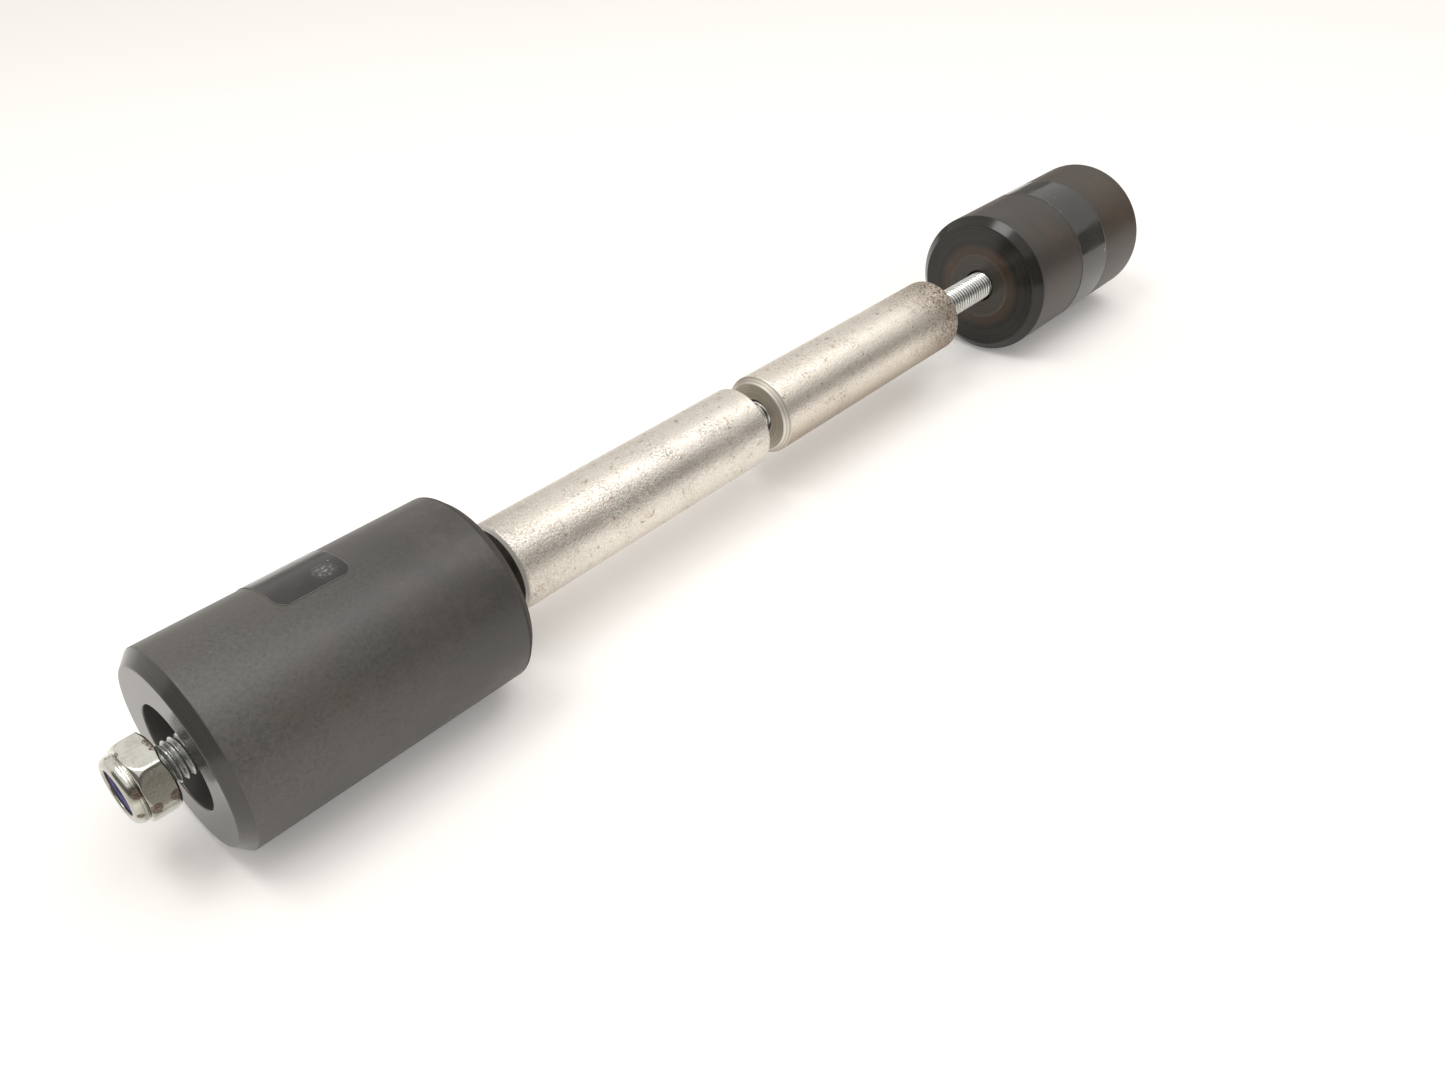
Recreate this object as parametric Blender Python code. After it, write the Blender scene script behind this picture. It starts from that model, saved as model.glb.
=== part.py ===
"""Crash protector set: two turned bobbins and two tube spacers, threaded on one length of studding.

The rod lies along X at the height of the bobbins' axis, so the part rests on its two bobbins.
The near end is the low end of X.  Its lock nut stands clear of its bobbin, as it does before the
set is tightened, and the far nut is run down on its washer, inside the far bobbin's counterbore.
Every turned piece is drawn on its own axis and then set down along the rod.  Lengths are in metres.
"""
import math

import bpy
import numpy as np

for leftover in list(bpy.data.objects):
    bpy.data.objects.remove(leftover, do_unlink=True)

MM = 0.001

# Clearances: faces that touch on the real part, the rod in its holes, the nut's thread on the rod
TOUCH_GAP = 0.3 * MM
HOLE_PLAY = 0.6 * MM
THREAD_PLAY = 0.3 * MM

# Studding, plain here at the crests of its thread
ROD_DIAMETER = 9.8 * MM
ROD_END_CHAMFER = 0.9 * MM
ROD_SHORT_OF_NEAR_NUT = 2.0 * MM
ROD_PAST_FAR_NUT = 2.4 * MM

# Bobbins, with the shallow seat that a spacer's end presses into the inner face
BOBBIN_DIAMETER = 50.0 * MM
BOBBIN_LENGTH = 76.8 * MM
BOBBIN_CHAMFER = 2.9 * MM
COUNTERBORE_DIAMETER = 26.0 * MM
COUNTERBORE_DEPTH = 30.0 * MM
SPACER_SEAT_DEPTH = 0.2 * MM
SPACER_SEAT_MARGIN = 0.8 * MM

# Film labels wrapped on the bobbins
LABEL_WIDTH = 18.0 * MM
LABEL_LENGTH = 70.0 * MM
LABEL_CORNER = 3.0 * MM
LABEL_THICKNESS = 0.25 * MM
LABEL_FROM_OUTER_FACE = 28.2 * MM
NEAR_LABEL_MIDDLE = math.radians(18.0)
FAR_LABEL_MIDDLE = math.radians(140.0)

# Tube spacers
SPACER_DIAMETER = 24.8 * MM
SPACER_CHAMFER = 1.8 * MM
SPACER_LENGTH = 93.4 * MM

# Nylon insert lock nuts
NUT_ACROSS_FLATS = 16.8 * MM
NUT_HEIGHT = 9.3 * MM
NUT_HEX_HEIGHT = 6.4 * MM
NUT_FACE_DIAMETER = 16.0 * MM
NUT_CHAMFER_ANGLE = math.radians(30.0)
NUT_LEAD_IN = 0.5 * MM
COLLAR_DIAMETER = 15.8 * MM
COLLAR_ROUND = 1.5 * MM
COLLAR_WALL = 0.8 * MM
COLLAR_LIP = 0.7 * MM
INSERT_HEIGHT = 2.2 * MM
NEAR_NUT_CORNER = math.radians(130.0)
FAR_NUT_CORNER = math.radians(20.0)

# Plain washers on the counterbore floors
WASHER_DIAMETER = 20.0 * MM
WASHER_THICKNESS = 2.0 * MM
WASHER_EDGE_BREAK = 0.3 * MM

# Slack along the rod: under the near nut, before the near spacer, between the spacers, before the far bobbin
NUT_STANDOFF = 3.6 * MM
NEAR_SLACK = 8.0 * MM
FRAME_GAP = 6.6 * MM
FAR_SLACK = 30.8 * MM

# Sides of the turned pieces
BOBBIN_SIDES = 64
SPACER_SIDES = 48
ROD_SIDES = 32
WASHER_SIDES = 40
NUT_SIDES = 36
LABEL_STEPS_ROUND_CORNER = 5
LABEL_STEPS_ALONG = 24
COLLAR_ROUND_STEPS = 3

# Radii that follow from the sizes above
ROD_RADIUS = ROD_DIAMETER / 2
HOLE_RADIUS = ROD_RADIUS + HOLE_PLAY
THREAD_RADIUS = ROD_RADIUS + THREAD_PLAY
BOBBIN_RADIUS = BOBBIN_DIAMETER / 2
COUNTERBORE_RADIUS = COUNTERBORE_DIAMETER / 2
SPACER_RADIUS = SPACER_DIAMETER / 2
SPACER_SEAT_RADIUS = SPACER_RADIUS - SPACER_CHAMFER + SPACER_SEAT_MARGIN

# Stations along the rod, from the near bobbin's outer face
NEAR_NUT_FACE = -NUT_STANDOFF
NEAR_NUT_END = NEAR_NUT_FACE - NUT_HEIGHT
NEAR_WASHER_START = COUNTERBORE_DEPTH - TOUCH_GAP - WASHER_THICKNESS
NEAR_SPACER_START = BOBBIN_LENGTH + NEAR_SLACK
NEAR_SPACER_END = NEAR_SPACER_START + SPACER_LENGTH
FAR_SPACER_START = NEAR_SPACER_END + FRAME_GAP
FAR_SPACER_END = FAR_SPACER_START + SPACER_LENGTH
FAR_BOBBIN_START = FAR_SPACER_END + FAR_SLACK
FAR_BOBBIN_END = FAR_BOBBIN_START + BOBBIN_LENGTH
FAR_WASHER_START = FAR_BOBBIN_END - COUNTERBORE_DEPTH + TOUCH_GAP
FAR_NUT_FACE = FAR_WASHER_START + WASHER_THICKNESS + TOUCH_GAP
FAR_NUT_END = FAR_NUT_FACE + NUT_HEIGHT
ROD_START = NEAR_NUT_END + ROD_SHORT_OF_NEAR_NUT
ROD_END = FAR_NUT_END + ROD_PAST_FAR_NUT

# The part's own origin is under the middle of its length, on the surface that it lies on
MIDDLE = (NEAR_NUT_END + max(FAR_BOBBIN_END, ROD_END)) / 2
AXIS_HEIGHT = BOBBIN_RADIUS

TOWARDS_FAR = 1
TOWARDS_NEAR = -1


def finish(name, vertices, faces, station, colour, metallic, roughness):
    """Put a mesh on the rod's axis at a station, shade it smooth and give it a material of its own."""
    mesh = bpy.data.meshes.new(name)
    mesh.from_pydata(vertices.tolist(), [], faces)
    mesh.validate()
    mesh.polygons.foreach_set("use_smooth", np.ones(len(mesh.polygons), dtype=bool))
    mesh.set_sharp_from_angle(angle=math.radians(25.0))
    material = bpy.data.materials.new(name)
    material.use_nodes = True
    shader = material.node_tree.nodes["Principled BSDF"]
    shader.inputs["Base Color"].default_value = (*colour, 1.0)
    shader.inputs["Metallic"].default_value = metallic
    shader.inputs["Roughness"].default_value = roughness
    mesh.materials.append(material)
    piece = bpy.data.objects.new(name, mesh)
    piece.location = (station - MIDDLE, 0.0, AXIS_HEIGHT)
    bpy.context.scene.collection.objects.link(piece)
    return piece


def lathe(rows, sides, start_angle=0.0, bored=True):
    """Vertices and faces of rows of (x, radius) turned about X.

    A row's x and radius are numbers, or arrays with one value for each side.  The rows of a bored
    piece close on themselves through its hole.  A solid bar runs from its first row to its last,
    and a flat face ends it there.
    """
    angle = start_angle + 2 * math.pi * np.arange(sides) / sides
    along = np.array([np.broadcast_to(x, sides) for x, _ in rows])
    radius = np.array([np.broadcast_to(r, sides) for _, r in rows])
    middle_x = along.mean(axis=1)
    middle_r = radius.mean(axis=1)
    turning = np.sum(middle_x * np.roll(middle_r, -1) - np.roll(middle_x, -1) * middle_r)
    if bored and turning > 0:
        along = along[::-1]
        radius = radius[::-1]
    vertices = np.stack([along, radius * np.cos(angle), radius * np.sin(angle)], axis=-1).reshape(-1, 3)
    count = len(rows)
    side = np.arange(sides)
    following = (side + 1) % sides
    faces = []
    for row in range(count if bored else count - 1):
        here = row * sides
        there = (row + 1) % count * sides
        faces += np.stack([here + side, here + following, there + following, there + side], axis=1).tolist()
    if not bored:
        faces.append(side[::-1].tolist())
        faces.append(((count - 1) * sides + side).tolist())
    return vertices, faces


def facing(rows, direction):
    """Rows drawn along +X, turned to run along -X when the piece faces the near end."""
    return [(direction * x, r) for x, r in rows]


def rod():
    length = ROD_END - ROD_START
    nose = ROD_RADIUS - ROD_END_CHAMFER
    rows = [
        (0.0, nose),
        (ROD_END_CHAMFER, ROD_RADIUS),
        (length - ROD_END_CHAMFER, ROD_RADIUS),
        (length, nose),
    ]
    finish("threaded_rod", *lathe(rows, ROD_SIDES, bored=False), ROD_START, (0.72, 0.72, 0.70), 1.0, 0.3)


def bobbin(name, outer_face, inward):
    """Bobbin drawn from its counterbored outer face to the inner face, where a spacer's end has its seat."""
    flat = BOBBIN_RADIUS - BOBBIN_CHAMFER
    rows = [
        (0.0, COUNTERBORE_RADIUS),
        (0.0, flat),
        (BOBBIN_CHAMFER, BOBBIN_RADIUS),
        (BOBBIN_LENGTH - BOBBIN_CHAMFER, BOBBIN_RADIUS),
        (BOBBIN_LENGTH, flat),
        (BOBBIN_LENGTH, SPACER_SEAT_RADIUS),
        (BOBBIN_LENGTH - SPACER_SEAT_DEPTH, SPACER_SEAT_RADIUS),
        (BOBBIN_LENGTH - SPACER_SEAT_DEPTH, HOLE_RADIUS),
        (COUNTERBORE_DEPTH, HOLE_RADIUS),
        (COUNTERBORE_DEPTH, COUNTERBORE_RADIUS),
    ]
    half_side = math.pi / BOBBIN_SIDES
    shape = lathe(facing(rows, inward), BOBBIN_SIDES, start_angle=half_side)
    finish(name, *shape, outer_face, (0.03, 0.028, 0.026), 0.0, 0.6)


def spacer(name, start):
    flat = SPACER_RADIUS - SPACER_CHAMFER
    rows = [
        (0.0, HOLE_RADIUS),
        (0.0, flat),
        (SPACER_CHAMFER, SPACER_RADIUS),
        (SPACER_LENGTH - SPACER_CHAMFER, SPACER_RADIUS),
        (SPACER_LENGTH, flat),
        (SPACER_LENGTH, HOLE_RADIUS),
    ]
    finish(name, *lathe(rows, SPACER_SIDES), start, (0.75, 0.74, 0.71), 1.0, 0.35)


def washer(name, start):
    edge = WASHER_DIAMETER / 2
    rows = [
        (0.0, HOLE_RADIUS),
        (0.0, edge - WASHER_EDGE_BREAK),
        (WASHER_EDGE_BREAK, edge),
        (WASHER_THICKNESS - WASHER_EDGE_BREAK, edge),
        (WASHER_THICKNESS, edge - WASHER_EDGE_BREAK),
        (WASHER_THICKNESS, HOLE_RADIUS),
    ]
    finish(name, *lathe(rows, WASHER_SIDES), start, (0.7, 0.7, 0.68), 1.0, 0.35)


def lock_nut(name, bearing_face, outward, corner_angle):
    """Hexagon with its corners turned off at both ends, and a collar rolled in over the insert's pocket.

    The hexagon's radius at an angle is half the width across flats over the cosine of the angle from
    the nearest flat's middle.  The chamfer's cone meets it further down where that radius is larger.
    """
    from_flat = (2 * math.pi * np.arange(NUT_SIDES) / NUT_SIDES) % (math.pi / 3) - math.pi / 6
    hexagon = NUT_ACROSS_FLATS / 2 / np.cos(from_flat)
    face_radius = NUT_FACE_DIAMETER / 2
    turned_off = (hexagon - face_radius) * math.tan(NUT_CHAMFER_ANGLE)
    collar = COLLAR_DIAMETER / 2
    shoulder = NUT_HEX_HEIGHT + (face_radius - collar) * math.tan(NUT_CHAMFER_ANGLE)
    bend = np.linspace(0.0, math.pi / 2, COLLAR_ROUND_STEPS + 1)
    rolled_edge = [
        (NUT_HEIGHT - COLLAR_ROUND + COLLAR_ROUND * math.sin(a), collar - COLLAR_ROUND + COLLAR_ROUND * math.cos(a))
        for a in bend
    ]
    pocket_radius = collar - COLLAR_WALL
    pocket_roof = NUT_HEIGHT - COLLAR_LIP
    pocket_floor = pocket_roof - INSERT_HEIGHT - 2 * TOUCH_GAP
    mouth = (pocket_radius + THREAD_RADIUS) / 2
    rows = [
        (0.0, THREAD_RADIUS + NUT_LEAD_IN),
        (0.0, face_radius),
        (turned_off, hexagon),
        (NUT_HEX_HEIGHT - turned_off, hexagon),
        (NUT_HEX_HEIGHT, face_radius),
        (shoulder, collar),
        *rolled_edge,
        (NUT_HEIGHT, mouth),
        (pocket_roof, mouth),
        (pocket_roof, pocket_radius),
        (pocket_floor, pocket_radius),
        (pocket_floor, THREAD_RADIUS),
        (NUT_LEAD_IN, THREAD_RADIUS),
    ]
    shape = lathe(facing(rows, outward), NUT_SIDES, start_angle=corner_angle)
    finish(name, *shape, bearing_face, (0.68, 0.67, 0.62), 1.0, 0.4)


def nut_insert(name, bearing_face, outward):
    """Nylon ring that fills the collar's pocket, less the gap that touching faces keep."""
    top = NUT_HEIGHT - COLLAR_LIP - TOUCH_GAP
    edge = COLLAR_DIAMETER / 2 - COLLAR_WALL - TOUCH_GAP
    rows = [
        (top - INSERT_HEIGHT, THREAD_RADIUS),
        (top - INSERT_HEIGHT, edge),
        (top, edge),
        (top, THREAD_RADIUS),
    ]
    finish(name, *lathe(facing(rows, outward), NUT_SIDES), bearing_face, (0.16, 0.13, 0.38), 0.0, 0.5)


def label(name, outer_face, inward, middle_angle):
    """Film with round corners, bent round the bobbin.

    Its half width at a distance s from either end is half the label's width, less the corner radius,
    plus the height of the corner's arc at s.
    """
    inner = BOBBIN_RADIUS + TOUCH_GAP
    outer = inner + LABEL_THICKNESS
    corner = LABEL_CORNER * (1 - np.cos(np.linspace(0.0, math.pi / 2, LABEL_STEPS_ROUND_CORNER + 1)))
    straight = np.linspace(LABEL_CORNER, LABEL_LENGTH - LABEL_CORNER, LABEL_STEPS_ALONG + 1)[1:-1]
    arc = np.concatenate([corner, straight, LABEL_LENGTH - corner[::-1]])
    from_end = np.minimum(np.minimum(arc, LABEL_LENGTH - arc), LABEL_CORNER)
    corner_height = np.sqrt(LABEL_CORNER ** 2 - (LABEL_CORNER - from_end) ** 2)
    half_width = LABEL_WIDTH / 2 - LABEL_CORNER + corner_height
    angle = middle_angle + (arc - LABEL_LENGTH / 2) / BOBBIN_RADIUS
    across = inward * (LABEL_FROM_OUTER_FACE + LABEL_WIDTH / 2)
    loop = [(-half_width, inner), (-half_width, outer), (half_width, outer), (half_width, inner)]
    vertices = np.stack(
        [np.stack([across + x, r * np.cos(angle), r * np.sin(angle)], axis=-1) for x, r in loop], axis=1
    ).reshape(-1, 3)
    size = len(loop)
    faces = [
        [step * size + i, step * size + (i + 1) % size, (step + 1) * size + (i + 1) % size, (step + 1) * size + i]
        for step in range(len(arc) - 1)
        for i in range(size)
    ]
    faces.append(list(range(size))[::-1])
    faces.append([(len(arc) - 1) * size + i for i in range(size)])
    faces = [face[::-1] for face in faces]
    finish(name, vertices, faces, outer_face, (0.05, 0.05, 0.055), 0.0, 0.15)


rod()

lock_nut("near_lock_nut", NEAR_NUT_FACE, TOWARDS_NEAR, NEAR_NUT_CORNER)
nut_insert("near_nut_insert", NEAR_NUT_FACE, TOWARDS_NEAR)
washer("near_washer", NEAR_WASHER_START)
bobbin("near_bobbin", 0.0, TOWARDS_FAR)
label("near_label", 0.0, TOWARDS_FAR, NEAR_LABEL_MIDDLE)
spacer("near_spacer", NEAR_SPACER_START)

spacer("far_spacer", FAR_SPACER_START)
bobbin("far_bobbin", FAR_BOBBIN_END, TOWARDS_NEAR)
label("far_label", FAR_BOBBIN_END, TOWARDS_NEAR, FAR_LABEL_MIDDLE)
washer("far_washer", FAR_WASHER_START)
lock_nut("far_lock_nut", FAR_NUT_FACE, TOWARDS_FAR, FAR_NUT_CORNER)
nut_insert("far_nut_insert", FAR_NUT_FACE, TOWARDS_FAR)
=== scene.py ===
# %% [markdown]
# A crash protector set on its threaded rod: two black plastic bobbins, two aluminium spacers, lock nuts and
# washers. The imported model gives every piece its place, so the lesson only makes each surface richer: rounded
# edges, a real screw thread, thin film and worn metal. All lengths are in metres, and the rod lies along X.

import bmesh
import bpy
import numpy as np
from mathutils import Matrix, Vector


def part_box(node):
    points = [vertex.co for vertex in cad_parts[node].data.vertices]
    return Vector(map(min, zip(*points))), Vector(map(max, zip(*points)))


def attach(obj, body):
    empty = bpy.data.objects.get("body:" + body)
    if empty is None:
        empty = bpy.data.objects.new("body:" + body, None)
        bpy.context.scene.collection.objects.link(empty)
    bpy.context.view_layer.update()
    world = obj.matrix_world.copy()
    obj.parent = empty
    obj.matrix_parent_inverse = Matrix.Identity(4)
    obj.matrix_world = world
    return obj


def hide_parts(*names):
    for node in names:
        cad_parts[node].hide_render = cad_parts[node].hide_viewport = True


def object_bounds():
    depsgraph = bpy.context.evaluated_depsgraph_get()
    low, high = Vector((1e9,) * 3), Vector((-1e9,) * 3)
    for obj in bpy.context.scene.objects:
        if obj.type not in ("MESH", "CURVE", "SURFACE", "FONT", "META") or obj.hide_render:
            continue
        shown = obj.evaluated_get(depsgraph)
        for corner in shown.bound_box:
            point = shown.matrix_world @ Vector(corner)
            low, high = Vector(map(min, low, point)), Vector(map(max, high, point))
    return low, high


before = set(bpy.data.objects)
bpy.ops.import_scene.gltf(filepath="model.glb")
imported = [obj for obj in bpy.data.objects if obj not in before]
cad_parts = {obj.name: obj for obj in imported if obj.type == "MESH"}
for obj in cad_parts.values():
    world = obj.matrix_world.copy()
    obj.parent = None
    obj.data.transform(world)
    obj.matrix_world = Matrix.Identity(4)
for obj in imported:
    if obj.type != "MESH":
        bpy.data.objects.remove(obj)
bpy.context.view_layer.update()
MM = 0.001
print("nodes:", sorted(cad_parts))

# %% [markdown]
# Every piece sits round one axis, so the first thing to measure is where that axis runs. The rod's own box
# gives it: the middle of the box in Y and Z. Face positions along X come from the boxes in the same way.

# %% Measure the axis and the faces
rod_low, rod_high = (np.array(corner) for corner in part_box("threaded_rod"))
AXIS_Y = (rod_low[1] + rod_high[1]) / 2
AXIS_Z = (rod_low[2] + rod_high[2]) / 2


def ends_of(node):
    """The lowest and highest X of a solid, in metres."""
    low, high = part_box(node)
    return low.x, high.x


for node in ("near_bobbin", "near_spacer", "far_spacer", "far_bobbin", "near_lock_nut", "far_lock_nut"):
    print(node, "runs from", [round(x / MM, 2) for x in ends_of(node)], "mm")

# %% [markdown]
# A lathe part is one profile spun round the axis. Blender's Screw or Spin tools could do it, but arrays give
# exact control of the corners. A real edge is never razor sharp, so each corner of the profile becomes a
# small curve.

# %% Helpers: rounded profiles and turned surfaces
def eased(corners, ease, steps=6):
    """Round the corners of a closed profile of (x, radius) points.

    A corner P becomes (1-t)(1-t) A + 2t(1-t) P + tt B, where A and B lie `ease` from P towards its
    neighbours, but never more than a third of the way. One more point beyond each keeps the flats flat.
    """
    reaches = []
    for way in (1, -1):
        side = np.roll(corners, way, axis=0) - corners
        length = np.linalg.norm(side, axis=1, keepdims=True)
        share = np.minimum(ease[:, None], length / 3) / length
        reaches.append((side * share)[:, None, :])
    back, ahead = reaches
    corner = corners[:, None, :]
    t = np.linspace(0, 1, steps)[:, None]
    curve = (1 - t) ** 2 * (corner + back) + 2 * t * (1 - t) * corner + t ** 2 * (corner + ahead)
    return np.concatenate([corner + back * 1.4, curve, corner + ahead * 1.4], axis=1).reshape(-1, 2)


def mesh_object(name, points, faces):
    """Put an array of points and an array of four-cornered faces into a smooth shaded mesh object."""
    mesh = bpy.data.meshes.new(name)
    mesh.vertices.add(len(points))
    mesh.vertices.foreach_set("co", np.asarray(points, np.float32).ravel())
    mesh.loops.add(faces.size)
    mesh.loops.foreach_set("vertex_index", faces.astype(np.int32).ravel())
    mesh.polygons.add(len(faces))
    mesh.polygons.foreach_set("loop_start", np.arange(0, faces.size, faces.shape[1], dtype=np.int32))
    mesh.polygons.foreach_set("use_smooth", np.ones(len(faces), bool))
    mesh.update(calc_edges=True)
    mesh.validate()
    piece = bpy.data.objects.new(name, mesh)
    bpy.context.scene.collection.objects.link(piece)
    return piece


def ring_faces(rows, sides):
    """Faces of a grid that closes on itself both ways, as a tyre does."""
    i, j = np.meshgrid(np.arange(rows), np.arange(sides), indexing="ij")
    ahead_i = (i + 1) % rows
    ahead_j = (j + 1) % sides
    corners = [i * sides + j, ahead_i * sides + j, ahead_i * sides + ahead_j, i * sides + ahead_j]
    return np.stack(corners, axis=-1).reshape(-1, 4)


def round_axis(x, radius, angle):
    """Point at (x, radius, angle): X is x, Y and Z are the radius times the cosine and sine of the angle."""
    x, radius, angle = np.broadcast_arrays(x, radius, angle)
    y = AXIS_Y + radius * np.cos(angle)
    z = AXIS_Z + radius * np.sin(angle)
    return np.stack([x, y, z], axis=-1).reshape(-1, 3)


def turned(name, rows, sides=192):
    """Spin a closed profile round the axis; a row gives a corner's x, its radius and its rounding in mm.

    The profile's signed area says which way round it runs, so that the faces always look outwards.
    """
    rows = np.array(rows)
    profile = eased(rows[:, :2], rows[:, 2] * MM)
    x, radius = profile.T
    area = np.sum(x * np.roll(radius, -1) - np.roll(x, -1) * radius)
    if area < 0:
        profile = profile[::-1]
    angle = np.arange(sides) * 2 * np.pi / sides
    points = round_axis(profile[:, :1], profile[:, 1:], angle)
    return mesh_object(name, points, ring_faces(len(profile), sides))


def fitted(piece, node, body):
    """Let a piece stand for a solid and ride on its body."""
    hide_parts(node)
    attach(piece, body)
    print(piece.name, "has", len(piece.data.polygons), "faces")
    return piece


# %% [markdown]
# The bobbin is a plastic bar turned to a plain drum with a wide chamfer at each end. Its outer end has a deep
# counterbore for the nut, and its inner end a shallow ring pressed in by the spacer. One profile holds all of
# it, and the far bobbin is the same profile turned end for end. The near bobbin's inner chamfer is a little
# smaller than the other three, as its outline in the photograph shows.

# %% Bobbins
BOBBIN_RADIUS = 25 * MM
BOBBIN_CHAMFER = 2.9 * MM
NEAR_INNER_CHAMFER = 2.2 * MM
COUNTERBORE_RADIUS = 13 * MM
COUNTERBORE_DEPTH = 30 * MM
HOLE_RADIUS = 5.5 * MM
SEAT_RADIUS = 11.4 * MM
SEAT_SLOPE = 0.25 * MM
SEAT_DEPTH = 0.2 * MM


def bobbin(name, outer_x, inner_x, inner_chamfer):
    """The drum's profile, walked from the rod hole at the counterbore's floor, out and round to the seat."""
    inward = np.sign(inner_x - outer_x)
    floor_x = outer_x + inward * COUNTERBORE_DEPTH
    seat_x = inner_x - inward * SEAT_DEPTH
    rows = [
        (floor_x, HOLE_RADIUS, 0.3),
        (floor_x, COUNTERBORE_RADIUS, 0.4),
        (outer_x, COUNTERBORE_RADIUS, 0.35),
        (outer_x, BOBBIN_RADIUS - BOBBIN_CHAMFER, 0.28),
        (outer_x + inward * BOBBIN_CHAMFER, BOBBIN_RADIUS, 0.28),
        (inner_x - inward * inner_chamfer, BOBBIN_RADIUS, 0.28),
        (inner_x, BOBBIN_RADIUS - inner_chamfer, 0.28),
        (inner_x, SEAT_RADIUS, 0.08),
        (seat_x, SEAT_RADIUS - SEAT_SLOPE, 0.08),
        (seat_x, HOLE_RADIUS, 0.5),
    ]
    return turned(name, rows)


near_outer, near_inner = ends_of("near_bobbin")
far_inner, far_outer = ends_of("far_bobbin")
near_bobbin = bobbin("near_drum", near_outer, near_inner, NEAR_INNER_CHAMFER)
far_bobbin = bobbin("far_drum", far_outer, far_inner, BOBBIN_CHAMFER)
fitted(near_bobbin, "near_bobbin", "near_protector")
fitted(far_bobbin, "far_bobbin", "far_protector")

# %% [markdown]
# The spacers are two lengths of aluminium bar, drilled for the rod, with their ends faced and chamfered. A
# cylinder with its rims bevelled would do. The profile also rounds the drilled hole, and the chamfers' edges
# stay crisp, because a lathe tool left them so. Two ends lie a hair off the solids' ends, where the
# photograph shows them, and the chamfer at the near bobbin is smaller than the other three.

# %% Spacers
SPACER_RADIUS = 12.4 * MM
SPACER_CHAMFER = 1.8 * MM
SMALL_CHAMFER = 1.0 * MM
NEAR_END_LONGER = 0.5 * MM
FAR_END_SHORTER = 0.3 * MM


def spacer(name, start_x, stop_x, first_chamfer):
    """A tube with chamfered ends, walked along its bore and back along its outside."""
    rows = [
        (start_x, HOLE_RADIUS, 0.4),
        (start_x, SPACER_RADIUS - first_chamfer, 0.2),
        (start_x + first_chamfer, SPACER_RADIUS, 0.25),
        (stop_x - SPACER_CHAMFER, SPACER_RADIUS, 0.25),
        (stop_x, SPACER_RADIUS - SPACER_CHAMFER, 0.2),
        (stop_x, HOLE_RADIUS, 0.4),
    ]
    return turned(name, rows)


near_start, near_stop = ends_of("near_spacer")
far_start, far_stop = ends_of("far_spacer")
near_start -= NEAR_END_LONGER
far_stop -= FAR_END_SHORTER
near_spacer = spacer("near_spacer_tube", near_start, near_stop, SMALL_CHAMFER)
far_spacer = spacer("far_spacer_tube", far_start, far_stop, SPACER_CHAMFER)
fitted(near_spacer, "near_spacer", "near_tube")
fitted(far_spacer, "far_spacer", "far_tube")

# %% [markdown]
# The studding is threaded along its whole length. A bump map could fake that, but the thread shows in outline
# beside the nut, so it is real here. The grid is slanted: each column of points is a step round the rod, and
# every step also moves a little along it. After one full turn the grid has moved by one pitch and joins its
# next row.

# %% Threaded rod
PITCH = 1.5 * MM
CREST_RADIUS = 4.9 * MM
THREAD_DEPTH = 0.86 * MM
ROD_END_RADIUS = 4.0 * MM
THREAD_STEPS = np.array([0.0, 0.06, 0.125, 0.42, 0.53, 0.70])
THREAD_RISE = np.array([0.93, 1.0, 0.93, 0.07, 0.0, 0.07])
EXTRA_TURNS = 3
WELD = 0.002 * MM
SLIVER = 0.001 * MM


def thread_grid(start_x, stop_x, sides):
    """Points of a right hand thread: x grows by one pitch in a turn, and the radius follows its form.

    Points past either end are pressed onto the end plane, and near it the radius follows the end's chamfer.
    """
    turns = int(np.ceil((stop_x - start_x) / PITCH)) + EXTRA_TURNS
    step = (np.arange(turns)[:, None] + THREAD_STEPS).ravel() - EXTRA_TURNS / 2
    rise = np.tile(THREAD_RISE, turns)
    share = np.arange(sides) / sides
    x = np.clip(start_x + PITCH * (step[:, None] + share), start_x, stop_x)
    crest = CREST_RADIUS - THREAD_DEPTH * (1 - rise)
    from_end = np.minimum(x - start_x, stop_x - x)
    radius = np.minimum(crest[:, None], ROD_END_RADIUS + from_end)
    radius = np.where(from_end <= 0, ROD_END_RADIUS, radius)
    return round_axis(x, radius, 2 * np.pi * share), len(step)


def thread_faces(rows, sides):
    """Faces between neighbours; the last column joins the first column one whole pitch further on."""
    i, j = np.meshgrid(np.arange(rows - 1), np.arange(sides), indexing="ij")
    next_i = i + np.where(j == sides - 1, len(THREAD_STEPS), 0)
    next_j = (j + 1) % sides
    corners = [i * sides + j, (i + 1) * sides + j, (next_i + 1) * sides + next_j, next_i * sides + next_j]
    faces = np.stack(corners, axis=-1).reshape(-1, 4)
    inside = (next_i + 1 < rows).ravel()
    return faces[inside]


def threaded_rod(name, start_x, stop_x, sides=40):
    """The thread's grid with its pressed ends merged to two rings, which are then filled as flat discs."""
    points, rows = thread_grid(start_x, stop_x, sides)
    piece = mesh_object(name, points, thread_faces(rows, sides)[:, ::-1])
    work = bmesh.new()
    work.from_mesh(piece.data)
    bmesh.ops.remove_doubles(work, verts=work.verts, dist=WELD)
    bmesh.ops.dissolve_degenerate(work, edges=work.edges, dist=SLIVER)
    rims = [edge for edge in work.edges if edge.is_boundary]
    bmesh.ops.holes_fill(work, edges=rims, sides=0)
    bmesh.ops.recalc_face_normals(work, faces=work.faces)
    work.to_mesh(piece.data)
    print("open edges left on the rod:", sum(edge.is_boundary for edge in work.edges))
    work.free()
    return piece


rod = fitted(threaded_rod("studding", *ends_of("threaded_rod")), "threaded_rod", "rod")

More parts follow.
